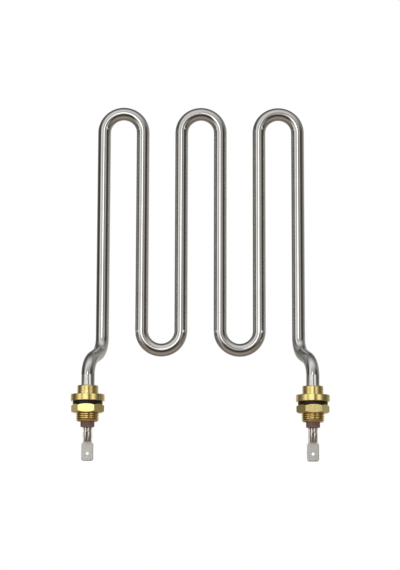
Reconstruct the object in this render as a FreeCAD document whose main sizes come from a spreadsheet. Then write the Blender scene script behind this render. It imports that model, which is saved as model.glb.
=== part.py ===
import FreeCAD, Part
import math
import os

import Sketcher

# Tubular heating element: a mineral-filled steel tube bent into three tall hairpins, with a screwed
# brass gland and a push-on tab terminal on each of its two ends.
# Millimetres. X runs from one gland to the other, Y goes from the glands back to the hairpins, Z is up.
# The origin lies midway between the gland axes, on the seat under their flanges.

os.makedirs("parts", exist_ok=True)
doc = FreeCAD.newDocument("heating_element")

dimensions = {
    # hairpins
    "tube_diameter": 7.0,
    "tube_wall": 0.7,
    "leg_pitch": 21.0,
    "lower_bend_height": 39.3,
    "upper_bend_height": 147.7,
    # offset bends that lead from the outer legs to the glands
    "gland_spacing": 117.7,
    "forward_offset": 16.5,
    "offset_bend_radius": 10.5,
    "offset_straight": 5.2,
    "leg_foot_height": 35.3,
    # inside the tube
    "coil_diameter": 3.0,
    "cold_end_height": 44.0,
    "pin_diameter": 2.2,
    "seal_length": 5.0,
    # brass gland
    "flange_diameter": 17.8,
    "flange_thickness": 3.5,
    "flange_edge_round": 0.3,
    "collar_diameter": 11.0,
    "collar_height": 4.7,
    "collar_edge_round": 0.6,
    "thread_diameter": 12.0,
    "thread_pitch_diameter": 11.35,
    "thread_length": 10.6,
    "thread_chamfer": 0.8,
    "relief_diameter": 10.4,
    # what is screwed or pushed onto the gland
    "gasket_diameter": 15.6,
    "gasket_thickness": 1.6,
    "gasket_clearance": 0.1,
    "nut_across_flats": 15.0,
    "nut_height": 4.6,
    "nut_chamfer_diameter": 14.6,
    "nut_chamfer_angle": 30.0,
    "nut_bore_chamfer": 0.4,
    "left_nut_turn": -3.3,
    "right_nut_turn": 0.5,
    # insulating bush in the tube's mouth
    "bush_diameter": 7.3,
    "bush_height": 3.0,
    "bush_spigot_length": 3.0,
    "bush_edge_round": 0.5,
    # tab terminal crimped on the pin
    "terminal_gap": 0.15,
    "barrel_length": 7.2,
    "barrel_upper_length": 2.4,
    "barrel_waist_length": 0.35,
    "lobe_radius": 1.0,
    "upper_seam_depth": 0.4,
    "waist_seam_depth": 0.24,
    "lower_seam_depth": 0.56,
    "tip_seam_depth": 0.34,
    "neck_width": 5.0,
    "neck_length": 7.8,
    "shoulder_height": 0.8,
    "tab_width": 6.3,
    "tab_thickness": 0.8,
    "tab_length": 9.5,
    "tab_corner_chamfer": 0.8,
    "tab_bevel_width": 0.65,
    "tab_bevel_depth": 0.2,
    "tab_hole_diameter": 1.8,
    "tab_hole_to_tip": 3.9,
}

sheet = doc.addObject("Spreadsheet::Sheet", "dims")
for row, (alias, value) in enumerate(dimensions.items(), start=1):
    sheet.set(f"A{row}", alias)
    sheet.set(f"B{row}", str(value))
    sheet.setAlias(f"B{row}", alias)
doc.recompute()


def size(expression):
    """The value of an expression on the sheet's aliases, in millimetres or degrees."""
    value = sheet.evalExpression(expression)
    return float(getattr(value, "Value", value))


# Heights along a gland, from its flange seat at zero. Each is a plain expression on the sheet.
NUT_TOP = "(-dims.gasket_thickness)"
NUT_FOOT = "(-dims.gasket_thickness - dims.nut_height)"
GLAND_FOOT = "(-dims.thread_length)"
BUSH_FOOT = "(-dims.thread_length - dims.bush_height)"
SEAL_FOOT = "(-dims.thread_length + dims.bush_spigot_length)"
SEAL_TOP = "(-dims.thread_length + dims.bush_spigot_length + dims.seal_length)"
BARREL_TOP = "(-dims.thread_length - dims.bush_height - dims.terminal_gap)"
BARREL_FOOT = "(-dims.thread_length - dims.bush_height - dims.terminal_gap - dims.barrel_length)"
BORE_RADIUS = "(dims.tube_diameter / 2 - dims.tube_wall)"


# The tube's centreline: straights and tangent arcs from the left gland to the right one.


def leg_position(index):
    """X of one of the six hairpin legs, counted from the left."""
    return (index - 2.5) * size("dims.leg_pitch")


def offset_bend(side):
    """The corner points of one offset bend, from its gland leg up to its outer hairpin leg."""
    gland = FreeCAD.Vector(side * size("dims.gland_spacing") / 2, 0, 0)
    leg = FreeCAD.Vector(side * leg_position(5), size("dims.forward_offset"), size("dims.leg_foot_height"))
    across = FreeCAD.Vector(leg.x - gland.x, leg.y, 0)
    up = FreeCAD.Vector(0, 0, 1)
    radius = size("dims.offset_bend_radius")
    straight = size("dims.offset_straight")
    reach = math.hypot(2 * radius, straight)
    angle = math.acos((2 * radius - across.Length) / reach) - math.atan2(straight, 2 * radius)
    across.normalize()

    def along_bend(turn):
        return across * (radius * (1 - math.cos(turn))) + up * (radius * math.sin(turn))

    slant = (across * math.sin(angle) + up * math.cos(angle)) * straight
    foot = leg - along_bend(angle) * 2 - slant
    return {
        "foot": foot,
        "lower_middle": foot + along_bend(angle / 2),
        "slant_start": foot + along_bend(angle),
        "slant_end": foot + along_bend(angle) + slant,
        "upper_middle": leg - along_bend(angle / 2),
        "leg": leg,
    }


def gland_run(side, start_height, leg_height):
    """Edges from a height on the gland's axis, through the offset bend, to a height on the outer leg."""
    bend = offset_bend(side)
    start = FreeCAD.Vector(bend["foot"].x, bend["foot"].y, start_height)
    end = FreeCAD.Vector(bend["leg"].x, bend["leg"].y, leg_height)
    return [
        Part.LineSegment(start, bend["foot"]).toShape(),
        Part.Arc(bend["foot"], bend["lower_middle"], bend["slant_start"]).toShape(),
        Part.LineSegment(bend["slant_start"], bend["slant_end"]).toShape(),
        Part.Arc(bend["slant_end"], bend["upper_middle"], bend["leg"]).toShape(),
        Part.LineSegment(bend["leg"], end).toShape(),
    ]


def hairpin_run(start_height):
    """Edges of the six legs and five hairpin bends, from a height on the first leg to it on the last."""
    depth = size("dims.forward_offset")
    radius = size("dims.leg_pitch") / 2
    top = size("dims.upper_bend_height")
    bottom = size("dims.lower_bend_height")

    def point(across, height):
        return FreeCAD.Vector(across, depth, height)

    edges = []
    for leg in range(6):
        across = leg_position(leg)
        rising = leg % 2 == 0
        begin = start_height if leg == 0 else (bottom if rising else top)
        finish = start_height if leg == 5 else (top if rising else bottom)
        edges.append(Part.LineSegment(point(across, begin), point(across, finish)).toShape())
        if leg < 5:
            crown = finish + radius if rising else finish - radius
            apex = point(across + radius, crown)
            after = point(across + 2 * radius, finish)
            edges.append(Part.Arc(point(across, finish), apex, after).toShape())
    return edges


def centreline(name, edges):
    line = doc.addObject("Part::Feature", name)
    line.Shape = Part.Wire(edges)
    return line


def round_sweep(name, line, diameter):
    """A round bar of the given diameter along a centreline that starts straight up."""
    section = doc.addObject("Part::Circle", f"{name}_section")
    section.setExpression("Radius", f"({diameter}) / 2")
    section.Placement.Base = line.Shape.Vertexes[0].Point
    sweep = doc.addObject("Part::Sweep", name)
    sweep.Sections = [section]
    sweep.Spine = (line, [f"Edge{i + 1}" for i in range(len(line.Shape.Edges))])
    sweep.Solid = True
    return sweep


def whole_run(start_height):
    """The whole centreline, from a height in the left gland to the same height in the right one."""
    foot = size("dims.leg_foot_height")
    left = gland_run(-1, start_height, foot + 1)[:-1]
    right = gland_run(1, start_height, foot + 1)[:-1]
    return left + hairpin_run(foot) + right[::-1]


pieces = []


def keep(piece, name):
    """Gives a finished piece its name and puts it on the list of what is written out."""
    piece.Label = name
    pieces.append(piece)
    return piece


# Sheath: one seamless tube, open at both ends.
sheath_line = centreline("sheath_line", whole_run(size(GLAND_FOOT)))
outside = round_sweep("sheath_outside", sheath_line, "dims.tube_diameter")
inside = round_sweep("sheath_inside", sheath_line, f"{BORE_RADIUS} * 2")
sheath = keep(doc.addObject("Part::Cut", "sheath"), "sheath")
sheath.Base = outside
sheath.Tool = inside

# Terminal pins: plain steel rods that carry the current past the gland to the start of the hot length.
pins = []
for side, hand in ((-1, "left"), (1, "right")):
    pin_edges = gland_run(side, size(BARREL_FOOT), size("dims.cold_end_height"))
    pin_line = centreline(f"{hand}_pin_line", pin_edges)
    pins.append(keep(round_sweep(f"{hand}_terminal_pin", pin_line, "dims.pin_diameter"), f"{hand}_terminal_pin"))

# Resistance coil: the outer shape of the close-wound wire, from one pin's end to the other's.
coil_line = centreline("coil_line", hairpin_run(size("dims.cold_end_height")))
coil = keep(round_sweep("resistance_coil", coil_line, "dims.coil_diameter"), "resistance_coil")

# Magnesia core: the packed powder that fills the tube round the coil and the pins.
core_line = centreline("core_line", whole_run(size(SEAL_TOP)))
filling = round_sweep("filling", core_line, f"{BORE_RADIUS} * 2")
conductors = doc.addObject("Part::MultiFuse", "conductors")
conductors.Shapes = [coil] + pins
core = keep(doc.addObject("Part::Cut", "magnesia_core"), "magnesia_core")
core.Base = filling
core.Tool = conductors


# Turned and padded pieces, drawn as sketches whose points are tied to the sheet.


def new_sketch(body, name, role, offset=None):
    """A sketch on one of the body's own origin planes, lifted off it by an expression."""
    plane = [item for item in body.Origin.OriginFeatures if item.Role == role][0]
    sketch = body.newObject("Sketcher::SketchObject", f"{body.Name}_{name}")
    sketch.AttachmentSupport = (plane, "")
    sketch.MapMode = "FlatFace"
    if offset:
        sketch.setExpression("AttachmentOffset.Base.z", offset)
    return sketch


def tie(sketch, kind, geometry, expression):
    """A driving constraint on a point or a radius, bound to an expression."""
    index = sketch.addConstraint(Sketcher.Constraint(kind, *geometry, size(expression)))
    sketch.setExpression(f"Constraints[{index}]", expression)


def tie_point(sketch, edge, end, across, along):
    tie(sketch, "DistanceX", (-1, 1, edge, end), across)
    tie(sketch, "DistanceY", (-1, 1, edge, end), along)


def draw_outline(sketch, corners):
    """A closed outline of straight lines through corners, each a pair of expressions."""
    points = [FreeCAD.Vector(size(across), size(along), 0) for across, along in corners]
    count = len(points)
    for index in range(count):
        sketch.addGeometry(Part.LineSegment(points[index], points[(index + 1) % count]), False)
    for index in range(count):
        sketch.addConstraint(Sketcher.Constraint("Coincident", index, 2, (index + 1) % count, 1))
    for index, (across, along) in enumerate(corners):
        tie_point(sketch, index, 1, across, along)


def new_body(name, side):
    body = doc.addObject("PartDesign::Body", name)
    body.setExpression("Placement.Base.x", f"{side} * dims.gland_spacing / 2")
    return keep(body, name)


def revolve(body, name, kind, corners):
    """Turns an outline of (radius, height) corners about the piece's own upright axis."""
    sketch = new_sketch(body, f"{name}_outline", "XZ_Plane")
    draw_outline(sketch, corners)
    turned = body.newObject(f"PartDesign::{kind}", f"{body.Name}_{name}")
    turned.Profile = sketch
    turned.ReferenceAxis = (sketch, ["V_Axis"])
    turned.Angle = 360
    doc.recompute()
    return turned


def round_edges(body, base, name, radius, rings):
    """Rounds the circular edges that lie at the given radii and heights."""
    wanted = [(size(across), size(along)) for across, along in rings]
    names = []
    for number, edge in enumerate(base.Shape.Edges, start=1):
        curve = edge.Curve
        if not isinstance(curve, Part.Circle) or abs(curve.Axis.z) < 0.99:
            continue
        for across, along in wanted:
            if abs(curve.Radius - across) < 1e-4 and abs(curve.Center.z - along) < 1e-4:
                names.append(f"Edge{number}")
    rounded = body.newObject("PartDesign::Fillet", f"{body.Name}_{name}")
    rounded.Base = (base, names)
    rounded.setExpression("Radius", radius)
    doc.recompute()
    return rounded


def make_gland(hand, side):
    """Threaded gland: turned from brass bar, pressed and brazed on the tube's end."""
    body = new_body(f"{hand}_threaded_gland", side)
    bore = "dims.tube_diameter / 2"
    chamfer_radius = "dims.thread_diameter / 2 - dims.thread_chamfer"
    chamfer_height = "-dims.thread_length + dims.thread_chamfer"
    collar_top = "dims.flange_thickness + dims.collar_height"
    turned = revolve(body, "turned", "Revolution", [
        (bore, GLAND_FOOT),
        (chamfer_radius, GLAND_FOOT),
        ("dims.thread_diameter / 2", chamfer_height),
        ("dims.thread_diameter / 2", NUT_FOOT),
        ("dims.thread_pitch_diameter / 2", NUT_FOOT),
        ("dims.thread_pitch_diameter / 2", NUT_TOP),
        ("dims.relief_diameter / 2", NUT_TOP),
        ("dims.relief_diameter / 2", "0"),
        ("dims.flange_diameter / 2", "0"),
        ("dims.flange_diameter / 2", "dims.flange_thickness"),
        ("dims.collar_diameter / 2", "dims.flange_thickness"),
        ("dims.collar_diameter / 2", collar_top),
        (bore, collar_top),
    ])
    flange_edges = [("dims.flange_diameter / 2", "0"), ("dims.flange_diameter / 2", "dims.flange_thickness")]
    rounded = round_edges(body, turned, "flange_rounds", "dims.flange_edge_round", flange_edges)
    collar_edge = [("dims.collar_diameter / 2", collar_top)]
    round_edges(body, rounded, "collar_round", "dims.collar_edge_round", collar_edge)


def make_gasket(hand, side):
    """Gasket: a flat rubber ring, squeezed between the flange and the panel or the nut."""
    body = new_body(f"{hand}_gasket", side)
    bore = "dims.thread_diameter / 2 + dims.gasket_clearance"
    revolve(body, "ring", "Revolution", [
        (bore, NUT_TOP),
        ("dims.gasket_diameter / 2", NUT_TOP),
        ("dims.gasket_diameter / 2", "0"),
        (bore, "0"),
    ])


def make_nut(hand, side):
    """Hexagon nut: brass, chamfered on both ends, screwed up against the gasket."""
    body = new_body(f"{hand}_hex_nut", side)
    body.Placement.Rotation = FreeCAD.Rotation(FreeCAD.Vector(0, 0, 1), 1)
    body.setExpression("Placement.Rotation.Angle", f"dims.{hand}_nut_turn")
    corner = "dims.nut_across_flats / 2 / cos(30)"
    prism = body.newObject("PartDesign::AdditivePrism", f"{body.Name}_hexagon")
    prism.Polygon = 6
    prism.setExpression("Circumradius", corner)
    prism.setExpression("Height", "dims.nut_height")
    prism.Placement.Rotation = FreeCAD.Rotation(FreeCAD.Vector(0, 0, 1), 30 + 30)
    prism.setExpression("Placement.Base.z", NUT_FOOT)
    doc.recompute()
    beyond = f"({corner}) + 1"
    start = "dims.nut_chamfer_diameter / 2"
    fall = f"(({beyond}) - ({start})) * tan(dims.nut_chamfer_angle)"
    for name, face, inwards in (("top_chamfer", NUT_TOP, "-"), ("foot_chamfer", NUT_FOOT, "+")):
        revolve(body, name, "Groove", [
            (start, face),
            (beyond, face),
            (beyond, f"{face} {inwards} {fall}"),
        ])
    bore = "dims.thread_pitch_diameter / 2"
    mouth = f"{bore} + dims.nut_bore_chamfer"
    revolve(body, "bore", "Groove", [
        ("0", NUT_FOOT),
        (mouth, NUT_FOOT),
        (bore, f"{NUT_FOOT} + dims.nut_bore_chamfer"),
        (bore, f"{NUT_TOP} - dims.nut_bore_chamfer"),
        (mouth, NUT_TOP),
        ("0", NUT_TOP),
    ])


def make_bush(hand, side):
    """Insulating bush: a moulded collar with a spigot that plugs the mouth of the tube."""
    body = new_body(f"{hand}_insulating_bush", side)
    bore = "dims.pin_diameter / 2"
    turned = revolve(body, "turned", "Revolution", [
        (bore, BUSH_FOOT),
        ("dims.bush_diameter / 2", BUSH_FOOT),
        ("dims.bush_diameter / 2", GLAND_FOOT),
        (BORE_RADIUS, GLAND_FOOT),
        (BORE_RADIUS, SEAL_FOOT),
        (bore, SEAL_FOOT),
    ])
    foot_edge = [("dims.bush_diameter / 2", BUSH_FOOT)]
    round_edges(body, turned, "foot_round", "dims.bush_edge_round", foot_edge)


def make_seal(hand, side):
    """End seal: a plug of cured resin that keeps damp out of the powder."""
    body = new_body(f"{hand}_end_seal", side)
    revolve(body, "plug", "Revolution", [
        ("dims.pin_diameter / 2", SEAL_FOOT),
        (BORE_RADIUS, SEAL_FOOT),
        (BORE_RADIUS, SEAL_TOP),
        ("dims.pin_diameter / 2", SEAL_TOP),
    ])


# The tab terminal's blade lies behind the pin, and its crimped wings close over the pin in front.
# Its heights are measured down from its own top edge.
BLADE_FRONT = "(dims.pin_diameter / 2)"
BLADE_BACK = "(dims.pin_diameter / 2 + dims.tab_thickness)"
SHOULDER_TOP = "(-dims.neck_length)"
TAB_TOP = "(-dims.neck_length - dims.shoulder_height)"
TAB_TIP = "(-dims.neck_length - dims.tab_length)"
CRIMP_FOOT = "(-dims.barrel_length)"
LOBE_HEIGHT = "(-dims.pin_diameter / 2)"


def draw_crimp(sketch, seam_depth):
    """The closed crimp seen from its end: flat at the blade, with two rolled lobes and a seam in front."""
    lobe_offset = f"sqrt({seam_depth} * (2 * dims.lobe_radius - {seam_depth}))"
    radius = size("dims.lobe_radius")
    offset = size(lobe_offset)
    level = size(LOBE_HEIGHT)
    half_width = offset + radius
    back = size(BLADE_FRONT)
    seam_turn = math.acos(offset / radius)

    def point(across, along):
        return FreeCAD.Vector(across, along, 0)

    normal = FreeCAD.Vector(0, 0, 1)
    right_lobe = Part.Circle(point(offset, level), normal, radius)
    left_lobe = Part.Circle(point(-offset, level), normal, radius)
    sketch.addGeometry(Part.LineSegment(point(-half_width, back), point(-half_width, level)), False)
    sketch.addGeometry(Part.ArcOfCircle(left_lobe, math.pi, 2 * math.pi - seam_turn), False)
    sketch.addGeometry(Part.ArcOfCircle(right_lobe, math.pi + seam_turn, 2 * math.pi), False)
    sketch.addGeometry(Part.LineSegment(point(half_width, level), point(half_width, back)), False)
    sketch.addGeometry(Part.LineSegment(point(half_width, back), point(-half_width, back)), False)
    for join in ((1, 2, 2, 1), (3, 2, 4, 1), (4, 2, 0, 1)):
        sketch.addConstraint(Sketcher.Constraint("Coincident", *join))
    tie_point(sketch, 1, 3, f"-{lobe_offset}", LOBE_HEIGHT)
    tie_point(sketch, 2, 3, lobe_offset, LOBE_HEIGHT)
    tie(sketch, "Radius", (1,), "dims.lobe_radius")
    tie(sketch, "Radius", (2,), "dims.lobe_radius")
    sketch.addConstraint(Sketcher.Constraint("Vertical", 0))
    sketch.addConstraint(Sketcher.Constraint("Vertical", 3))
    sketch.addConstraint(Sketcher.Constraint("Horizontal", 4))
    tie(sketch, "DistanceY", (-1, 1, 3, 2), BLADE_FRONT)
    sketch.addConstraint(Sketcher.Constraint("Tangent", 0, 2, 1, 1))
    sketch.addConstraint(Sketcher.Constraint("Tangent", 2, 2, 3, 1))


def cut_prism(body, name, role, offset, corners, length):
    """Cuts a straight-sided prism out of the body, drawn on a lifted origin plane and cut back through it."""
    sketch = new_sketch(body, f"{name}_outline", role, offset)
    draw_outline(sketch, corners)
    doc.recompute()
    before = body.Shape.Volume
    pocket = body.newObject("PartDesign::Pocket", f"{body.Name}_{name}")
    pocket.Profile = sketch
    pocket.setExpression("Length", length)
    doc.recompute()
    if pocket.Shape.Volume >= before:
        raise RuntimeError(f"{pocket.Name} cut nothing")
    return pocket


def make_terminal(hand, side):
    """Tab terminal: stamped from tinned strip, its wings rolled over the pin in a double crimp."""
    body = new_body(f"{hand}_tab_terminal", side)
    body.setExpression("Placement.Base.z", BARREL_TOP)
    half_neck = "dims.neck_width / 2"
    half_tab = "dims.tab_width / 2"
    tip_corner = "(dims.tab_width / 2 - dims.tab_corner_chamfer)"
    tip_side = f"({TAB_TIP} + dims.tab_corner_chamfer)"
    outline = new_sketch(body, "blade_outline", "XZ_Plane", f"-{BLADE_BACK}")
    right_side = [
        (half_neck, "0"),
        (half_neck, SHOULDER_TOP),
        (half_tab, TAB_TOP),
        (half_tab, tip_side),
        (tip_corner, TAB_TIP),
    ]
    left_side = [(f"-({across})", along) for across, along in reversed(right_side)]
    draw_outline(outline, right_side + left_side)
    blade = body.newObject("PartDesign::Pad", f"{body.Name}_blade")
    blade.Profile = outline
    blade.setExpression("Length", "dims.tab_thickness")
    doc.recompute()

    hole = body.newObject("PartDesign::SubtractiveCylinder", f"{body.Name}_hole")
    hole.setExpression("Radius", "dims.tab_hole_diameter / 2")
    hole.setExpression("Height", "dims.tab_thickness + 2")
    hole.Placement.Rotation = FreeCAD.Rotation(FreeCAD.Vector(1, 0, 0), -90)
    hole.setExpression("Placement.Base.y", f"{BLADE_FRONT} - 1")
    hole.setExpression("Placement.Base.z", f"{TAB_TIP} + dims.tab_hole_to_tip")
    doc.recompute()

    # the tab's long edges and its tip are bevelled on both faces, wide on the face and shallow on the edge
    for number, (face, inwards) in enumerate(((BLADE_FRONT, "+"), (BLADE_BACK, "-"))):
        level = f"{face} {inwards} dims.tab_bevel_depth"
        for mirror in ("1", "-1"):
            edge = f"{mirror} * dims.tab_width / 2"
            inner = f"{mirror} * (dims.tab_width / 2 - dims.tab_bevel_width)"
            label = f"side_bevel_{number}_{'right' if mirror == '1' else 'left'}"
            corners = [(edge, face), (inner, face), (edge, level)]
            cut_prism(body, label, "XY_Plane", TAB_TOP, corners, "dims.tab_length")
        tip_label = f"tip_bevel_{number}"
        tip = [(face, TAB_TIP), (face, f"{TAB_TIP} + dims.tab_bevel_width"), (level, TAB_TIP)]
        cut_prism(body, tip_label, "YZ_Plane", half_tab, tip, "dims.tab_width")

    upper_foot = "(-dims.barrel_upper_length)"
    waist_foot = "(-dims.barrel_upper_length - dims.barrel_waist_length)"
    lofts = (
        ("upper_crimp", "0", "dims.upper_seam_depth", upper_foot, "dims.waist_seam_depth"),
        ("waist", upper_foot, "dims.waist_seam_depth", waist_foot, "dims.lower_seam_depth"),
        ("lower_crimp", waist_foot, "dims.lower_seam_depth", CRIMP_FOOT, "dims.tip_seam_depth"),
    )
    for name, top, top_seam, foot, foot_seam in lofts:
        upper = new_sketch(body, f"{name}_top", "XY_Plane", top)
        draw_crimp(upper, top_seam)
        lower = new_sketch(body, f"{name}_foot", "XY_Plane", foot)
        draw_crimp(lower, foot_seam)
        doc.recompute()
        loft = body.newObject("PartDesign::AdditiveLoft", f"{body.Name}_{name}")
        loft.Profile = upper
        loft.Sections = [lower]
        loft.Ruled = True
        doc.recompute()

    bore = body.newObject("PartDesign::SubtractiveCylinder", f"{body.Name}_pin_bore")
    bore.setExpression("Radius", "dims.pin_diameter / 2")
    bore.setExpression("Height", "dims.barrel_length")
    bore.setExpression("Placement.Base.z", CRIMP_FOOT)
    doc.recompute()


for side, hand in ((-1, "left"), (1, "right")):
    make_gland(hand, side)
    make_gasket(hand, side)
    make_nut(hand, side)
    make_bush(hand, side)
    make_seal(hand, side)
    make_terminal(hand, side)

doc.recompute()

for item in doc.Objects:
    if "Invalid" in item.State or "Error" in item.State:
        raise RuntimeError(f"{item.Name} did not build: {item.State}")
for piece in pieces:
    if piece.Shape.isNull() or not piece.Shape.isValid() or len(piece.Shape.Solids) != 1:
        raise RuntimeError(f"{piece.Label} is not one valid solid")

for piece in pieces:
    piece.Shape.exportStep(f"parts/{piece.Label}.step")
    print(f"{piece.Label}: {piece.Shape.Volume:.1f} cubic mm")
print(f"centreline length {sheath_line.Shape.Length:.1f} mm")
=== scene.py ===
import math

import bpy
from mathutils import Matrix, Vector


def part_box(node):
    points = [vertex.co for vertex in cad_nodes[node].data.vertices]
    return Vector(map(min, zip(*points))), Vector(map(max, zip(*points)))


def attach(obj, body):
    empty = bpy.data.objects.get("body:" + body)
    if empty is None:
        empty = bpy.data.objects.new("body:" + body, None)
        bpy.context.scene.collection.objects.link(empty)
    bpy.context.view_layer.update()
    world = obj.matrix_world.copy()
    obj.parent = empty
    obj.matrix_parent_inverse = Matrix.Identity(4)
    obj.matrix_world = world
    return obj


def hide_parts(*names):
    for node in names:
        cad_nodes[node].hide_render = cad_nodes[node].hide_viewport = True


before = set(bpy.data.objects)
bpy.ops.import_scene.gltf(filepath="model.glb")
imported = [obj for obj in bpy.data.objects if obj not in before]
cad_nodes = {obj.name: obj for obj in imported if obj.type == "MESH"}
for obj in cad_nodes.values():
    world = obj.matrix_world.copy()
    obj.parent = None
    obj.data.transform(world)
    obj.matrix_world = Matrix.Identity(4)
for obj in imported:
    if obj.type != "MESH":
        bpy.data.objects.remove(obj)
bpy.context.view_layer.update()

scene = bpy.context.scene

# Sheath: one seamless stainless tube, filled with powder, drawn down and bent cold into six legs.
# Each end swings forward in an offset bend and runs down through its gland. Belt-polished all over,
# so fine marks run round it and follow every bend.

tube_radius = 0.0035
tube_wall = 0.0007
leg_pitch = 0.021
lower_bend_height = 0.0393
leg_foot_height = 0.0353
offset_radius = 0.0105
offset_straight = 0.0052
around_tube = 72
bend_step = math.radians(5)
ring_gap = 0.0001
bend_entry = (0.030, 0.037)
bend_exit = (0.044, 0.052)
bend_dullness = 0.16

sheath_low, sheath_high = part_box("sheath")
tube_mouth = sheath_low.z
gland_x = sheath_high.x - tube_radius
hairpin_y = sheath_high.y - tube_radius
hairpin_radius = leg_pitch / 2
upper_bend_height = sheath_high.z - tube_radius - hairpin_radius
first_leg_x = -2.5 * leg_pitch


def start_ring(name, radius, place, vertices):
    """A new piece that is one ring of vertices, open in edit mode with the ring selected."""
    bpy.ops.object.select_all(action="DESELECT")
    bpy.ops.mesh.primitive_circle_add(vertices=vertices, radius=radius, fill_type="NOTHING", location=place)
    piece = bpy.context.active_object
    piece.name = name
    piece.data.name = name
    bpy.ops.object.transform_apply(location=True, rotation=True, scale=True)
    bpy.ops.object.mode_set(mode="EDIT")
    bpy.ops.mesh.select_all(action="SELECT")
    return piece


def run_straight(vector):
    bpy.ops.mesh.extrude_region_move(TRANSFORM_OT_translate={"value": vector})


def run_held(vector):
    """A straight run with a ring close to each end, so that a bend doesn't shade along it."""
    step = vector.normalized() * ring_gap
    for part in (step, vector - step * 2, step):
        run_straight(part)


def run_round(centre, axis, angle):
    """Bends the run about an axis by the right-hand rule, which is the other way round for spin."""
    steps = math.ceil(angle / bend_step)
    bpy.ops.mesh.spin(steps=steps, angle=angle, center=centre, axis=-axis)


def close_shell(piece):
    """Merges doubles, turns every face outwards and goes back to object mode."""
    bpy.ops.mesh.select_all(action="SELECT")
    bpy.ops.mesh.remove_doubles(threshold=1e-6)
    bpy.ops.mesh.normals_make_consistent(inside=False)
    bpy.ops.object.mode_set(mode="OBJECT")


def pick(piece):
    """Makes a piece the active one, and the only one selected."""
    bpy.ops.object.select_all(action="DESELECT")
    piece.select_set(True)
    bpy.context.view_layer.objects.active = piece


def shade(piece, degrees):
    """Smooth shading, but for edges sharper than an angle."""
    pick(piece)
    bpy.ops.object.shade_smooth_by_angle(angle=math.radians(degrees))


def apply_all(piece):
    """Applies a piece's modifiers in their order."""
    pick(piece)
    for modifier in list(piece.modifiers):
        bpy.ops.object.modifier_apply(modifier=modifier.name)


up = Vector((0, 0, 1))
across = Vector((first_leg_x + gland_x, hairpin_y, 0))
reach = math.hypot(2 * offset_radius, offset_straight)
lean = math.atan2(offset_straight, 2 * offset_radius)
swing = math.acos((2 * offset_radius - across.length) / reach) - lean
across.normalize()
first_leg = Vector((first_leg_x, hairpin_y, leg_foot_height))
slant = (across * math.sin(swing) + up * math.cos(swing)) * offset_straight
one_bend = across * (offset_radius * (1 - math.cos(swing))) + up * (offset_radius * math.sin(swing))
bend_foot = first_leg - one_bend * 2 - slant
swing_axis = up.cross(across)
mouth_centre = Vector((-gland_x, 0, tube_mouth))

# from the left mouth to the top of the middle hairpin, where the mirrored half begins
sheath = start_ring("polished_sheath", tube_radius, mouth_centre, around_tube)
run_held(bend_foot - mouth_centre)
run_round(bend_foot + across * offset_radius, swing_axis, swing)
run_held(slant)
run_round(first_leg - across * offset_radius, -swing_axis, swing)
run_held(up * (upper_bend_height - leg_foot_height))
leg_length = upper_bend_height - lower_bend_height
bend_axis = Vector((0, 1, 0))
hairpin_x = first_leg_x + hairpin_radius
run_round(Vector((hairpin_x, hairpin_y, upper_bend_height)), bend_axis, math.pi)
run_held(-up * leg_length)
run_round(Vector((hairpin_x + leg_pitch, hairpin_y, lower_bend_height)), -bend_axis, math.pi)
run_held(up * leg_length)
run_round(Vector((0, hairpin_y, upper_bend_height)), bend_axis, math.pi / 2)
bpy.ops.object.mode_set(mode="OBJECT")


def store_unbent(piece):
    """Keeps each vertex's place on the tube pulled straight. The rings follow one another in the mesh."""
    points = [vertex.co.copy() for vertex in piece.data.vertices]
    rings = [points[start:start + around_tube] for start in range(0, len(points), around_tube)]
    unbent = piece.data.attributes.new("unbent", "FLOAT_VECTOR", "POINT")
    travelled = 0.0
    last_centre = sum(rings[0], Vector()) / around_tube
    for number, ring in enumerate(rings):
        centre = sum(ring, Vector()) / around_tube
        travelled += (centre - last_centre).length
        last_centre = centre
        for index in range(around_tube):
            turn = math.tau * index / around_tube
            straight = (tube_radius * math.cos(turn), tube_radius * math.sin(turn), travelled)
            unbent.data[number * around_tube + index].vector = straight


store_unbent(sheath)
mirror = sheath.modifiers.new("right_half", "MIRROR")
mirror.use_axis = (True, False, False)
mirror.merge_threshold = 1e-6
apply_all(sheath)
bpy.ops.object.mode_set(mode="EDIT")
close_shell(sheath)
wall = sheath.modifiers.new("wall", "SOLIDIFY")
wall.thickness = tube_wall
wall.offset = -1
apply_all(sheath)
shade(sheath, 40)


def new_finish(name, colour, metallic, roughness):
    """A named material with its plain values set, and its node tree and shader to build on."""
    finish = bpy.data.materials.new(name)
    finish.use_nodes = True
    tree = finish.node_tree
    shader = tree.nodes["Principled BSDF"]
    shader.inputs["Base Color"].default_value = (*colour, 1)
    shader.inputs["Metallic"].default_value = metallic
    shader.inputs["Roughness"].default_value = roughness
    return finish, tree, shader


def coordinates(tree, stretch=(1, 1, 1), attribute=None):
    """Object coordinates, or a named attribute, stretched for a pattern."""
    if attribute:
        source = tree.nodes.new("ShaderNodeAttribute")
        source.attribute_name = attribute
        vector = source.outputs["Vector"]
    else:
        source = tree.nodes.new("ShaderNodeTexCoord")
        vector = source.outputs["Object"]
    mapping = tree.nodes.new("ShaderNodeMapping")
    mapping.inputs["Scale"].default_value = stretch
    tree.links.new(vector, mapping.inputs["Vector"])
    return mapping.outputs[0]


def noise(tree, vector, scale, detail=3.0, roughness=0.55):
    node = tree.nodes.new("ShaderNodeTexNoise")
    node.inputs["Scale"].default_value = scale
    node.inputs["Detail"].default_value = detail
    node.inputs["Roughness"].default_value = roughness
    tree.links.new(vector, node.inputs["Vector"])
    return node.outputs[0]


def remap(tree, value, low, high, to_low, to_high, smooth=False):
    """A value carried from one range to another, and held at both ends."""
    node = tree.nodes.new("ShaderNodeMapRange")
    if smooth:
        node.interpolation_type = "SMOOTHSTEP"
    for name, number in (("From Min", low), ("From Max", high), ("To Min", to_low), ("To Max", to_high)):
        node.inputs[name].default_value = number
    tree.links.new(value, node.inputs["Value"])
    return node.outputs[0]


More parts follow.
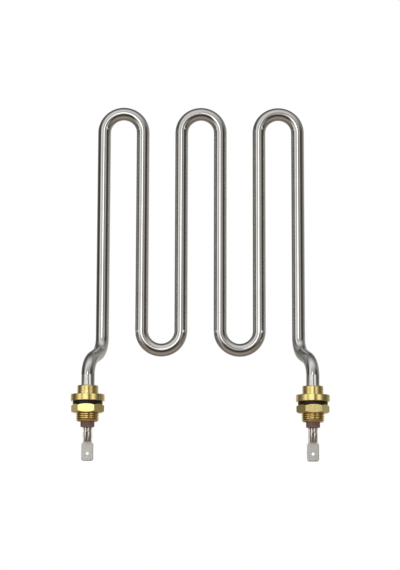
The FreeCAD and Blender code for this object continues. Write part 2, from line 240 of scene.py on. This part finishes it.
def colours(tree, value, stops):
    """A colour ramp driven by a value, from (place, colour) stops."""
    node = tree.nodes.new("ShaderNodeValToRGB")
    elements = node.color_ramp.elements
    elements[0].position = stops[0][0]
    elements[0].color = (*stops[0][1], 1)
    elements[1].position = stops[-1][0]
    elements[1].color = (*stops[-1][1], 1)
    for place, colour in stops[1:-1]:
        elements.new(place).color = (*colour, 1)
    tree.links.new(value, node.inputs[0])
    return node.outputs[0]


def bump(tree, shader, height, distance, strength=1.0):
    node = tree.nodes.new("ShaderNodeBump")
    node.inputs["Strength"].default_value = strength
    node.inputs["Distance"].default_value = distance
    tree.links.new(height, node.inputs["Height"])
    tree.links.new(node.outputs[0], shader.inputs["Normal"])


def calculate(tree, operation, *values):
    """A math node over numbers and sockets."""
    node = tree.nodes.new("ShaderNodeMath")
    node.operation = operation
    for index, value in enumerate(values):
        if isinstance(value, (int, float)):
            node.inputs[index].default_value = value
        else:
            tree.links.new(value, node.inputs[index])
    return node.outputs[0]


def sheath_finish():
    """Belt-polished stainless steel: fine marks round the tube, a few scuffs along it, and a duller
    stretch at each offset bend."""
    finish, tree, shader = new_finish("belt_polished_steel", (0.70, 0.69, 0.67), 1.0, 0.12)
    marks = noise(tree, coordinates(tree, (0.10, 0.10, 1.0), "unbent"), 5200, 4.0, 0.6)
    scuffs = noise(tree, coordinates(tree, (1.0, 1.0, 0.12), "unbent"), 900, 3.0)
    patches = noise(tree, coordinates(tree, attribute="unbent"), 130, 2.0)
    tones = ((0.3, (0.70, 0.685, 0.665)), (0.55, (0.74, 0.73, 0.71)), (0.75, (0.77, 0.76, 0.74)))
    tree.links.new(colours(tree, patches, tones), shader.inputs["Base Color"])
    polished = remap(tree, marks, 0.3, 0.7, 0.05, 0.07)
    worn = calculate(tree, "ADD", polished, remap(tree, scuffs, 0.45, 0.75, 0.0, 0.04))
    split = tree.nodes.new("ShaderNodeSeparateXYZ")
    tree.links.new(coordinates(tree, attribute="unbent"), split.inputs[0])
    along = split.outputs["Z"]
    after_foot = remap(tree, along, *bend_entry, 0.0, bend_dullness)
    before_leg = remap(tree, along, *bend_exit, 1.0, 0.0)
    dulled = calculate(tree, "MULTIPLY_ADD", after_foot, before_leg, worn)
    tree.links.new(dulled, shader.inputs["Roughness"])
    bump(tree, shader, marks, 5.0e-8)
    return finish


sheath.data.materials.append(sheath_finish())
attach(sheath, "root")
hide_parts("sheath")

# Glands: turned from brass bar, with a collar, a flange and an M12 thread of 1 mm pitch whose free
# end shows below the nut. Pressed over the tube's ends and brazed, then left bright with light oil.

collar_radius = 0.0055
collar_height = 0.0047
collar_round = 0.0006
flange_radius = 0.0089
flange_thickness = 0.0035
flange_round = 0.0003
relief_radius = 0.0052
thread_radius = 0.006
thread_core_radius = 0.00539
thread_pitch = 0.001
thread_chamfer = 0.0008
thread_foot = tube_mouth
# where the painted shadow of the nut on the thread begins, and where it is darkest
nut_shadow_starts = -0.0098
nut_shadow_full = -0.0064
around_gland = 96
around_thread = 72
long_run = 0.0004
holding_gap = 0.00003
hands = {"left": -gland_x, "right": gland_x}


def quarter(radius, height, size, start):
    """Points of a quarter circle about (radius, height), turning 90 degrees clockwise from start."""
    steps = 5
    turns = [math.radians(start - 90 * step / steps) for step in range(steps + 1)]
    return [(radius + size * math.cos(turn), height + size * math.sin(turn)) for turn in turns]


def turn_outline(name, centre_x, outline, vertices):
    """A turned shell: a ring led from corner to corner of an outline of (radius, height) pairs.
    Long runs get a ring close to each end, so that rounded corners don't shade across them."""
    ring_radius, ring_height = outline[0]
    piece = start_ring(name, ring_radius, (centre_x, 0, ring_height), vertices)
    for start, end in zip(outline, outline[1:]):
        run = math.hypot(end[0] - start[0], end[1] - start[1])
        shares = (1,) if run < long_run else (holding_gap / run, 1 - holding_gap / run, 1)
        for share in shares:
            radius = start[0] + (end[0] - start[0]) * share
            height = start[1] + (end[1] - start[1]) * share
            run_straight((0, 0, height - ring_height))
            growth = radius / ring_radius
            bpy.ops.transform.resize(value=(growth, growth, 1), center_override=(centre_x, 0, height))
            ring_radius = radius
            ring_height = height
    return piece


def cut_thread(name, centre_x, top, foot):
    """A threaded shank: one pitch of profile is screwed down, kept inside a turned blank with a
    chamfered foot, and trimmed at both ends."""
    crest = thread_pitch * 0.17
    root = thread_pitch * 0.07
    middle = thread_pitch / 2
    ease = thread_pitch / 30
    profile = [
        (thread_core_radius, 0),
        (thread_core_radius, root - ease),
        (thread_core_radius + ease, root + ease),
        (thread_radius - ease, middle - crest - ease),
        (thread_radius, middle - crest),
        (thread_radius, middle + crest),
        (thread_radius - ease, middle + crest + ease),
        (thread_core_radius + ease, thread_pitch - root - ease),
        (thread_core_radius, thread_pitch - root + ease),
        (thread_core_radius, thread_pitch),
    ]
    blank_radius = thread_radius + 5e-6
    bore = tube_radius / 2
    below = 0.0014
    narrow = thread_radius - thread_chamfer - below
    blank_outline = [(bore, top + below), (blank_radius, top + below), (blank_radius, foot + thread_chamfer)]
    blank_outline += [(narrow, foot - below), (bore, foot - below), (bore, top + below)]
    blank = turn_outline(f"{name}_blank", centre_x, blank_outline, 4 * around_thread)
    close_shell(blank)

    start = foot - 1.5 * thread_pitch
    bpy.ops.object.select_all(action="DESELECT")
    bpy.ops.mesh.primitive_plane_add(size=thread_pitch)
    piece = bpy.context.active_object
    piece.name = name
    piece.data.name = name
    bpy.ops.object.mode_set(mode="EDIT")
    bpy.ops.mesh.select_mode(type="VERT")
    bpy.ops.mesh.select_all(action="SELECT")
    bpy.ops.mesh.merge(type="CENTER")
    bpy.ops.transform.translate(value=(thread_core_radius, 0, 0))
    for (radius, height), (next_radius, next_height) in zip(profile, profile[1:]):
        run_straight((next_radius - radius, 0, next_height - height))
    bpy.ops.object.mode_set(mode="OBJECT")
    screw = piece.modifiers.new("screw", "SCREW")
    screw.axis = "Z"
    screw.steps = around_thread
    screw.render_steps = around_thread
    screw.screw_offset = thread_pitch
    screw.iterations = math.ceil((top - start) / thread_pitch) + 1
    screw.use_merge_vertices = True
    screw.merge_threshold = 1e-6
    apply_all(piece)
    piece.location = (centre_x, 0, start)
    bpy.ops.object.transform_apply(location=True, rotation=True, scale=True)
    inside = piece.modifiers.new("inside_blank", "SHRINKWRAP")
    inside.target = blank
    inside.wrap_method = "NEAREST_SURFACEPOINT"
    inside.wrap_mode = "INSIDE"
    apply_all(piece)
    bpy.data.objects.remove(blank)
    bpy.ops.object.mode_set(mode="EDIT")
    for height, side in ((top, 1), (foot, -1)):
        bpy.ops.mesh.select_all(action="SELECT")
        bpy.ops.mesh.bisect(plane_co=(centre_x, 0, height), plane_no=(0, 0, side), clear_outer=True)
    bpy.ops.object.mode_set(mode="OBJECT")
    return piece


def select_open_edges():
    bpy.ops.mesh.select_all(action="DESELECT")
    bpy.ops.mesh.select_mode(type="EDGE")
    bpy.ops.mesh.select_non_manifold(extend=False, use_wire=False, use_multi_face=False, use_verts=False)


def select_rim(piece, centre_x, height, smallest, largest):
    """Selects the open edges that lie at a height and between two radii of the gland's axis."""
    select_open_edges()
    bpy.ops.object.mode_set(mode="OBJECT")
    vertices = piece.data.vertices
    for edge in piece.data.edges:
        for index in edge.vertices:
            point = vertices[index].co
            radius = math.hypot(point.x - centre_x, point.y)
            if abs(point.z - height) > 1e-6 or not smallest <= radius <= largest:
                edge.select = False
    chosen = {index for edge in piece.data.edges if edge.select for index in edge.vertices}
    for vertex in vertices:
        vertex.select = vertex.index in chosen
    bpy.ops.object.mode_set(mode="EDIT")


def make_gland(hand, centre_x):
    """A turned head on a threaded shank: the foot's rim is drawn in to the bore, the head is bridged to
    the shank's top, and the bore's two rims are bridged to each other."""
    collar_top = flange_thickness + collar_height
    shank_top = -thread_pitch / 2
    outline = [(tube_radius, collar_top)]
    outline += quarter(collar_radius - collar_round, collar_top - collar_round, collar_round, 90)
    outline += [(collar_radius, flange_thickness)]
    outline += quarter(flange_radius - flange_round, flange_thickness - flange_round, flange_round, 90)
    outline += quarter(flange_radius - flange_round, flange_round, flange_round, 0)
    outline += [(relief_radius, 0), (relief_radius, shank_top)]
    head = turn_outline(f"{hand}_gland", centre_x, outline, around_gland)
    bpy.ops.object.mode_set(mode="OBJECT")
    shank = cut_thread(f"{hand}_shank", centre_x, shank_top, thread_foot)
    pick(head)
    shank.select_set(True)
    bpy.ops.object.join()
    bpy.ops.object.mode_set(mode="EDIT")
    wide = thread_radius + 1e-5
    select_rim(head, centre_x, thread_foot, tube_radius, wide)
    run_straight((0, 0, 0))
    inwards = tube_radius / (thread_radius - thread_chamfer)
    bpy.ops.transform.resize(value=(inwards, inwards, 1), center_override=(centre_x, 0, thread_foot))
    select_rim(head, centre_x, shank_top, relief_radius - 1e-5, wide)
    bpy.ops.mesh.bridge_edge_loops()
    select_open_edges()
    bpy.ops.mesh.bridge_edge_loops()
    close_shell(head)
    shade(head, 30)
    return head


def split_place(tree):
    """The x, y and z of Object coordinates."""
    source = tree.nodes.new("ShaderNodeTexCoord")
    split = tree.nodes.new("ShaderNodeSeparateXYZ")
    tree.links.new(source.outputs["Object"], split.inputs[0])
    return split.outputs


def blend_colours(tree, weight, first, second):
    """Mixes two colours, each a socket or three numbers."""
    node = tree.nodes.new("ShaderNodeMix")
    node.data_type = "RGBA"
    tree.links.new(weight, node.inputs[0])
    for index, colour in ((6, first), (7, second)):
        if isinstance(colour, tuple):
            node.inputs[index].default_value = (*colour, 1)
        else:
            tree.links.new(colour, node.inputs[index])
    return node.outputs[2]


def distance(tree, first, second):
    """The distance that two offsets at right angles make."""
    square = calculate(tree, "MULTIPLY", first, first)
    return calculate(tree, "SQRT", calculate(tree, "MULTIPLY_ADD", second, second, square))


def beside_axis(tree, place):
    """How far x lies from the nearer gland's upright axis."""
    return calculate(tree, "SUBTRACT", calculate(tree, "ABSOLUTE", place[0]), gland_x)


def brass_finish(name, grain, roughness, depth, warm, base, pale):
    """Free-cutting brass: bright on what the tool or the die has smoothed, with a faint warm cloud."""
    finish, tree, shader = new_finish(name, base, 1.0, roughness)
    tone = noise(tree, coordinates(tree), 260, 3.0)
    tint = colours(tree, tone, ((0.30, warm), (0.50, base), (0.72, pale)))
    tree.links.new(tint, shader.inputs["Base Color"])
    lines = noise(tree, coordinates(tree, grain), 1.0, 3.0, 0.6)
    worn = remap(tree, lines, 0.3, 0.7, roughness - 0.03, roughness + 0.05)
    tree.links.new(worn, shader.inputs["Roughness"])
    bump(tree, shader, lines, depth)
    return finish


def turned_finish():
    """Turned brass: less bright on the collar, with painted brown shade in the thread's roots and a painted
    shadow of the nut on the turns just below it.
    """
    warm = (0.91, 0.69, 0.25)
    base = (0.95, 0.76, 0.31)
    pale = (0.98, 0.81, 0.38)
    finish = brass_finish("turned_brass", (250, 250, 9000), 0.09, 4.0e-7, warm, base, pale)
    tree = finish.node_tree
    shader = tree.nodes["Principled BSDF"]
    tint = shader.inputs["Base Color"].links[0].from_socket
    worn = shader.inputs["Roughness"].links[0].from_socket
    place = split_place(tree)
    on_collar = remap(tree, place[2], flange_thickness, flange_thickness + 0.0002, 0.0, 0.06)
    tree.links.new(calculate(tree, "ADD", worn, on_collar), shader.inputs["Roughness"])
    from_axis = distance(tree, beside_axis(tree, place), place[1])
    # painted shade: the thread's roots are coloured dark brown, except near the chamfered foot
    root_shade = remap(tree, from_axis, thread_core_radius, thread_radius - 0.0001, 0.75, 0.0)
    clear_of_foot = remap(tree, place[2], thread_foot + 0.0008, thread_foot + 0.0011, 0.0, 1.0)
    # painted shadow of the nut: the top turns of the thread are coloured darker towards the nut
    under_nut_shadow = remap(tree, place[2], nut_shadow_starts, nut_shadow_full, 0.0, 0.4)
    on_thread = remap(tree, place[2], -0.0004, -0.0002, 1.0, 0.0)
    # the painted root shade and nut shadow are mixed into the brass as one dark brown
    painted_shade = calculate(tree, "MAXIMUM", calculate(tree, "MULTIPLY", root_shade, clear_of_foot), under_nut_shadow)
    painted_shade = calculate(tree, "MULTIPLY", painted_shade, on_thread)
    tree.links.new(blend_colours(tree, painted_shade, tint, (0.46, 0.26, 0.035)), shader.inputs["Base Color"])
    return finish


turned_brass = turned_finish()
for hand, centre_x in hands.items():
    gland = make_gland(hand, centre_x)
    gland.data.materials.append(turned_brass)
    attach(gland, "root")
    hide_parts(f"{hand}_threaded_gland")

# Gaskets: moulded rubber rings that seal the panel, squeezed between flange and nut. The mould leaves
# their rims rounded, and the skin is dull and a little mottled.

gasket_radius = 0.0078
gasket_bore = thread_radius + 0.0001
gasket_thickness = 0.0016
gasket_round = 0.0003
gasket_flat = gasket_radius - gasket_round
around_ring = 96


def rubber_finish():
    """Black rubber with a mottled skin."""
    finish, tree, shader = new_finish("black_rubber", (0.013, 0.008, 0.009), 0.0, 0.42)
    skin = noise(tree, coordinates(tree), 1500, 5.0, 0.65)
    tint = colours(tree, skin, ((0.35, (0.009, 0.0055, 0.0065)), (0.7, (0.022, 0.013, 0.015))))
    tree.links.new(tint, shader.inputs["Base Color"])
    tree.links.new(remap(tree, skin, 0.3, 0.7, 0.34, 0.5), shader.inputs["Roughness"])
    bump(tree, shader, skin, 1.5e-5)
    return finish


black_rubber = rubber_finish()
gasket_outline = [(gasket_bore, 0), (gasket_bore, -gasket_thickness)]
gasket_outline += reversed(quarter(gasket_flat, gasket_round - gasket_thickness, gasket_round, 0))
gasket_outline += reversed(quarter(gasket_flat, -gasket_round, gasket_round, 90))
gasket_outline += [(gasket_bore, 0)]
for hand, centre_x in hands.items():
    gasket = turn_outline(f"{hand}_gasket_ring", centre_x, gasket_outline, around_ring)
    close_shell(gasket)
    shade(gasket, 40)
    gasket.data.materials.append(black_rubber)
    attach(gasket, "root")
    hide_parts(f"{hand}_gasket")

# Nuts: hexagon brass, sawn from drawn bar, so the flats keep a grain along the bar and both ends
# have a turned chamfer that leaves an arc on every flat.

nut_bevel = 0.00008
flat_within = math.radians(0.1)


def copy_solid(node, name, bevel_width, sharpest):
    """A merged copy of a solid with its sharp edges broken by a small bevel."""
    piece = node.copy()
    piece.data = node.data.copy()
    piece.name = name
    piece.data.name = name
    scene.collection.objects.link(piece)
    pick(piece)
    bpy.ops.object.mode_set(mode="EDIT")
    bpy.ops.mesh.select_all(action="SELECT")
    bpy.ops.mesh.remove_doubles(threshold=1e-6)
    bpy.ops.mesh.dissolve_limited(angle_limit=flat_within)
    bpy.ops.mesh.normals_make_consistent(inside=False)
    bpy.ops.object.mode_set(mode="OBJECT")
    bevel = piece.modifiers.new("broken_edges", "BEVEL")
    bevel.width = bevel_width
    bevel.segments = 2
    bevel.limit_method = "ANGLE"
    bevel.angle_limit = math.radians(sharpest)
    apply_all(piece)
    shade(piece, sharpest)
    flats = piece.modifiers.new("true_flats", "WEIGHTED_NORMAL")
    flats.keep_sharp = True
    apply_all(piece)
    piece.data.materials.clear()
    return piece


drawn_brass = brass_finish(
    "drawn_brass", (2600, 2600, 300), 0.15, 6.0e-7, (0.92, 0.73, 0.27), (0.95, 0.79, 0.33), (0.97, 0.83, 0.40)
)
for hand in hands:
    nut = copy_solid(cad_nodes[f"{hand}_hex_nut"], f"{hand}_nut", nut_bevel, 24)
    nut.data.materials.append(drawn_brass)
    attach(nut, "root")
    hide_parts(f"{hand}_hex_nut")

# Bushes: moulded phenolic collars, purple-brown, that close the tube's mouths round the pins. A spigot
# goes up into the tube, and the collar below it has a rounded lower rim.

bush_radius = 0.00365
bush_height = 0.003
bush_round = 0.0005
bush_foot = thread_foot - bush_height
spigot_radius = tube_radius - tube_wall
spigot_top = thread_foot + bush_height
pin_radius = 0.0011
lead_in = 0.0003


def phenolic_finish():
    """Purple-brown moulding with a paler filler."""
    finish, tree, shader = new_finish("moulded_phenolic", (0.26, 0.145, 0.135), 0.0, 0.5)
    filler = noise(tree, coordinates(tree), 1700, 4.0, 0.7)
    tones = ((0.32, (0.15, 0.08, 0.08)), (0.5, (0.26, 0.145, 0.135)), (0.68, (0.38, 0.24, 0.22)))
    tree.links.new(colours(tree, filler, tones), shader.inputs["Base Color"])
    tree.links.new(remap(tree, filler, 0.3, 0.7, 0.42, 0.6), shader.inputs["Roughness"])
    bump(tree, shader, filler, 1.2e-5)
    return finish


phenolic = phenolic_finish()
bush_outline = [(pin_radius, spigot_top), (spigot_radius, spigot_top), (spigot_radius, thread_foot)]
bush_outline += [(bush_radius, thread_foot)]
bush_outline += quarter(bush_radius - bush_round, bush_foot + bush_round, bush_round, 0)
bush_outline += [(pin_radius + lead_in, bush_foot), (pin_radius, bush_foot + lead_in)]
bush_outline += [(pin_radius, spigot_top)]
for hand, centre_x in hands.items():
    bush = turn_outline(f"{hand}_bush", centre_x, bush_outline, around_ring)
    close_shell(bush)
    shade(bush, 40)
    bush.data.materials.append(phenolic)
    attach(bush, "root")
    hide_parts(f"{hand}_insulating_bush")

# Tab terminals: stamped from tinned strip, the wings rolled over the pin in a double crimp. The die
# leaves the crests of the two lobes bright, and the folds beside them are darkened with painted shade.

strip_bevel = 0.00005
crest_front = -0.0021
strip_front = 0.0011
crimp_foot = -0.02095
neck_foot = -0.02155
hole_height = -0.02715
hole_radius = 0.0009


def tinned_finish():
    """Tinned strip: dull flats, a smoother crimp, painted shade in the folds and a painted shadow round the
    hole.
    """
    finish, tree, shader = new_finish("tinned_strip", (0.91, 0.89, 0.86), 1.0, 0.42)
    speckle = noise(tree, coordinates(tree), 5200, 4.0, 0.7)
    cloud = noise(tree, coordinates(tree), 500, 3.0)
    tint = colours(tree, cloud, ((0.35, (0.93, 0.91, 0.85)), (0.6, (0.97, 0.95, 0.91))))
    place = split_place(tree)
    # painted shade: the folds behind the lobes' crests are coloured near black
    folded = remap(tree, place[1], crest_front + 0.00014, crest_front + 0.0003, 0.0, 1.0)
    deep = remap(tree, place[1], crest_front + 0.0007, strip_front - 0.0002, 1.0, 0.2)
    crimped = remap(tree, place[1], strip_front - 0.0002, strip_front - 0.00005, 1.0, 0.0)
    fold_shade = calculate(tree, "MULTIPLY", calculate(tree, "MULTIPLY", folded, deep), crimped)
    warm = remap(tree, place[2], neck_foot - 0.0006, crimp_foot + 0.0004, 0.0, 0.4)
    tint = blend_colours(tree, warm, tint, (0.92, 0.85, 0.68))
    # painted shadow: a dark brown ring is coloured round the hole's rim
    above_hole = calculate(tree, "SUBTRACT", place[2], hole_height)
    from_hole = distance(tree, beside_axis(tree, place), above_hole)
    hole_shadow = remap(tree, from_hole, hole_radius + 0.00005, hole_radius + 0.0003, 0.7, 0.0)
    tint = blend_colours(tree, hole_shadow, tint, (0.34, 0.26, 0.16))
    tree.links.new(blend_colours(tree, fold_shade, tint, (0.09, 0.056, 0.018)), shader.inputs["Base Color"])
    smoother = remap(tree, place[2], neck_foot, crimp_foot, 0.0, -0.22)
    speckled = remap(tree, speckle, 0.3, 0.7, 0.42, 0.52)
    tree.links.new(calculate(tree, "ADD", speckled, smoother), shader.inputs["Roughness"])
    bump(tree, shader, speckle, 1.0e-6)
    return finish


tinned = tinned_finish()
for hand in hands:
    terminal = copy_solid(cad_nodes[f"{hand}_tab_terminal"], f"{hand}_terminal", strip_bevel, 35)
    terminal.data.materials.append(tinned)
    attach(terminal, "root")
    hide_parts(f"{hand}_tab_terminal")

# Inside the tube: steel pins, the wound wire, packed powder and the resin seals, all hidden but for
# the pins' cut ends in the crimps.


def plain_finish(name, dark, light, metallic, rough, scale):
    """One mottled tone between a dark and a light colour."""
    finish, tree, shader = new_finish(name, light, metallic, rough)
    mottle = noise(tree, coordinates(tree), scale, 4.0, 0.6)
    tree.links.new(colours(tree, mottle, ((0.35, dark), (0.65, light))), shader.inputs["Base Color"])
    tree.links.new(remap(tree, mottle, 0.3, 0.7, rough - 0.08, rough + 0.08), shader.inputs["Roughness"])
    bump(tree, shader, mottle, 8.0e-6)
    return finish


bare_pin = plain_finish("drawn_pin_steel", (0.42, 0.40, 0.38), (0.58, 0.56, 0.53), 1.0, 0.3, 2500)
bare_wire = plain_finish("oxidised_wire", (0.10, 0.09, 0.08), (0.30, 0.27, 0.24), 1.0, 0.45, 1800)
powder = plain_finish("packed_magnesia", (0.74, 0.72, 0.68), (0.88, 0.87, 0.84), 0.0, 0.8, 3500)
resin = plain_finish("cured_resin", (0.24, 0.08, 0.05), (0.42, 0.16, 0.10), 0.0, 0.35, 900)
inner_finishes = {
    "terminal_pin": bare_pin,
    "resistance_coil": bare_wire,
    "magnesia_core": powder,
    "end_seal": resin,
}
for name, node in cad_nodes.items():
    for ending, finish in inner_finishes.items():
        if name.endswith(ending):
            node.data.materials.clear()
            node.data.materials.append(finish)

# Studio: the part hangs free in a white surround over a pale floor that fades out at its rim. Light
# panels stand in front with dark gaps beside them, in sets for the hairpins, the glands and the feet
# of the tube, and a soft panel above lights the floor.

scene.view_settings.view_transform = "Standard"
level_rise = 0.16
level_spread = 0.08
steep_tilt = 0.85
gland_panels_start = (0.035, 0.055)
gland_panels_end = (0.0932, 0.0948)
foot_panels_end = (0.103, 0.114)
floor_height = -0.2
floor_radius = 0.8
floor_solid_to = 0.3
floor_gone_from = 0.78
lamp_size = 1.0
lamp_power = 14.0
lamp_place = (0, 0.35, 1.3)

# the panels, each stop an angle from straight in front, its brightness and its warmth
hairpin_panels = (
    (-180, 0.80, 0.03), (-152, 0.34, 0.06), (-130, 0.20, 0.12), (-106, 0.08, 0.16), (-84, 0.05, 0.16),
    (-72, 0.07, 0.10), (-61, 0.50, 0.02), (-53, 1.05, 0.02), (-44, 0.90, 0.02), (-34, 0.54, 0.02),
    (-20, 0.62, 0.02), (-15, 2.20, 0.00), (0, 2.20, 0.00), (6, 0.42, 0.03), (14, 0.26, 0.05),
    (20, 0.30, 0.05), (28, 0.55, 0.05), (36, 0.44, 0.08), (44, 0.16, 0.14), (52, 0.06, 0.18),
    (64, 0.05, 0.18), (76, 0.10, 0.16), (96, 0.24, 0.14), (122, 0.40, 0.08), (150, 0.62, 0.04),
    (180, 0.80, 0.03),
)
gland_panels = (
    (-180, 0.90, 0.03), (-140, 0.50, 0.10), (-129, 0.40, 0.10), (-116, 0.20, 0.12), (-104, 0.12, 0.14),
    (-90, 0.20, 0.10), (-76, 0.46, 0.04), (-64, 0.95, 0.00), (-50, 1.15, 0.00), (-42, 0.60, 0.02),
    (-36, 0.36, 0.04), (-30, 0.70, 0.00), (-25, 1.45, 0.00), (5, 1.50, 0.00), (10, 0.24, 0.06),
    (19, 0.20, 0.06), (23, 0.40, 0.02), (28, 0.46, 0.02), (35, 1.10, 0.00), (46, 1.15, 0.00),
    (56, 0.62, 0.02), (66, 0.30, 0.06), (78, 0.15, 0.10), (98, 0.13, 0.12), (114, 0.26, 0.08),
    (130, 0.36, 0.05), (155, 0.62, 0.03), (180, 0.90, 0.03),
)
foot_panels = (
    (-180, 0.90, 0.03), (-140, 0.55, 0.06), (-118, 0.24, 0.10), (-98, 0.08, 0.14), (-84, 0.08, 0.14),
    (-70, 0.22, 0.06), (-54, 0.62, 0.02), (-42, 1.15, 0.00), (-27, 1.45, 0.00), (-22, 0.70, -0.10),
    (-16, 0.05, -0.35), (15, 0.03, -0.35), (21, 0.60, -0.10), (26, 1.50, 0.00), (38, 1.30, 0.00),
    (48, 0.60, 0.02), (58, 0.12, 0.10), (80, 0.06, 0.16), (98, 0.12, 0.14), (122, 0.26, 0.08),
    (150, 0.55, 0.03), (180, 0.80, 0.03),
)
upright_panels = (
    (-180, 0.80, 0.02), (-151, 0.34, 0.10), (-130, 0.20, 0.16), (-113, 0.20, 0.20), (-92, 0.30, 0.26),
    (-75, 0.38, 0.26), (-60, 0.32, 0.26), (-50, 0.24, 0.26), (-42, 0.08, 0.24), (-30, 0.04, 0.24),
    (-19, 0.06, 0.20), (-12, 0.24, 0.10), (-3, 0.48, 0.04), (8, 0.46, 0.02), (17, 0.52, 0.02),
    (26, 0.58, 0.00), (36, 0.66, 0.00), (46, 0.82, 0.00), (58, 0.90, 0.00), (70, 0.66, 0.00),
    (82, 0.42, 0.00), (96, 0.16, 0.00), (112, 0.08, 0.00), (135, 0.12, 0.00), (155, 0.45, 0.00),
    (180, 0.80, 0.02),
)


def light_panels(tree, share, stops):
    """The light round one full turn, read at a share of the turn."""
    node = tree.nodes.new("ShaderNodeValToRGB")
    elements = node.color_ramp.elements
    while len(elements) > 1:
        elements.remove(elements[-1])
    for index, (angle, bright, warmth) in enumerate(stops):
        position = (angle + 180) / 360
        element = elements[0] if index == 0 else elements.new(position)
        element.position = position
        element.color = (bright, bright * (1 - 0.5 * warmth), bright * (1 - warmth), 1)
    tree.links.new(share, node.inputs[0])
    return node.outputs[0]


def surround_light(tree):
    """The panels as one colour: three sets by height for level directions, and one for steep ones."""
    direction = tree.nodes.new("ShaderNodeTexCoord")
    split = tree.nodes.new("ShaderNodeSeparateXYZ")
    tree.links.new(direction.outputs["Generated"], split.inputs[0])
    sideways = split.outputs["X"]
    forward = calculate(tree, "MULTIPLY", split.outputs["Y"], -1.0)
    rise = split.outputs["Z"]
    from_front = distance(tree, sideways, rise)
    aside = calculate(tree, "DIVIDE", calculate(tree, "ARCTAN2", from_front, forward), math.tau)
    around = calculate(tree, "MULTIPLY_ADD", aside, calculate(tree, "SIGN", sideways), 0.5)
    over = calculate(tree, "MULTIPLY_ADD", aside, calculate(tree, "SIGN", rise), 0.5)
    at_hairpins = light_panels(tree, around, hairpin_panels)
    at_glands = light_panels(tree, around, gland_panels)
    at_feet = light_panels(tree, around, foot_panels)
    upright = light_panels(tree, over, upright_panels)
    under_glands = remap(tree, rise, *gland_panels_start, 1.0, 0.0)
    past_glands = remap(tree, rise, *gland_panels_end, 0.0, 1.0)
    past_feet = remap(tree, rise, *foot_panels_end, 0.0, 1.0)
    level = blend_colours(tree, past_glands, at_glands, at_feet)
    level = blend_colours(tree, calculate(tree, "MAXIMUM", past_feet, under_glands), level, at_hairpins)
    from_level = calculate(tree, "ABSOLUTE", calculate(tree, "SUBTRACT", rise, level_rise))
    tilt = calculate(tree, "DIVIDE", calculate(tree, "SUBTRACT", from_level, level_spread), from_front)
    steep = remap(tree, tilt, 0.0, steep_tilt, 0.0, 1.0, smooth=True)
    return blend_colours(tree, steep, level, upright)


def light_world():
    """Panels for what the part reflects, and plain white for what the camera sees behind it."""
    world = bpy.data.worlds.new("white_surround")
    world.use_nodes = True
    tree = world.node_tree
    tree.nodes.clear()
    surround = tree.nodes.new("ShaderNodeBackground")
    tree.links.new(surround_light(tree), surround.inputs["Color"])
    backdrop = tree.nodes.new("ShaderNodeBackground")
    backdrop.inputs["Color"].default_value = (1, 1, 1, 1)
    path = tree.nodes.new("ShaderNodeLightPath")
    choose = tree.nodes.new("ShaderNodeMixShader")
    tree.links.new(path.outputs["Is Camera Ray"], choose.inputs[0])
    tree.links.new(surround.outputs[0], choose.inputs[1])
    tree.links.new(backdrop.outputs[0], choose.inputs[2])
    output = tree.nodes.new("ShaderNodeOutputWorld")
    tree.links.new(choose.outputs[0], output.inputs["Surface"])
    scene.world = world


def floor_finish():
    """Pale matt board that fades out at its rim."""
    finish, tree, shader = new_finish("pale_floor", (0.92, 0.92, 0.91), 0.0, 0.8)
    place = split_place(tree)
    from_middle = distance(tree, place[0], place[1])
    solid = remap(tree, from_middle, floor_solid_to, floor_gone_from, 1.0, 0.0)
    tree.links.new(solid, shader.inputs["Alpha"])
    bump(tree, shader, noise(tree, coordinates(tree), 60, 3.0), 1.0e-4)
    return finish


light_world()
middle = (0, 0, floor_height)
bpy.ops.object.select_all(action="DESELECT")
bpy.ops.mesh.primitive_circle_add(vertices=96, radius=floor_radius, fill_type="NGON", location=middle)
bpy.ops.object.transform_apply(location=True, rotation=True, scale=True)
floor = bpy.context.active_object
floor.name = "pale_floor"
floor.visible_glossy = False
floor.data.materials.append(floor_finish())

lamp = bpy.data.objects.new("soft_panel", bpy.data.lights.new("soft_panel", "AREA"))
lamp.data.size = lamp_size
lamp.data.energy = lamp_power
lamp.location = lamp_place
lamp.visible_glossy = False
scene.collection.objects.link(lamp)

# Camera: a little below the glands and tilted up at the hairpins, as the photograph shows them. Its
# place, tilt and focal length were fitted to how the legs narrow towards the top.

frame_height = 570
focal_pixels = 1750
sensor_height = 36
camera_tilt = math.radians(8.6)
camera_roll = math.radians(0.17)
camera_place = Vector((-0.00034, -0.9135, -0.0766))

camera = bpy.data.objects.new("camera", bpy.data.cameras.new("camera"))
scene.collection.objects.link(camera)
camera.data.sensor_fit = "VERTICAL"
camera.data.sensor_height = sensor_height
camera.data.lens = sensor_height * focal_pixels / frame_height
camera.matrix_world = (
    Matrix.Translation(camera_place)
    @ Matrix.Rotation(math.radians(90) + camera_tilt, 4, "X")
    @ Matrix.Rotation(camera_roll, 4, "Z")
)
scene.camera = camera
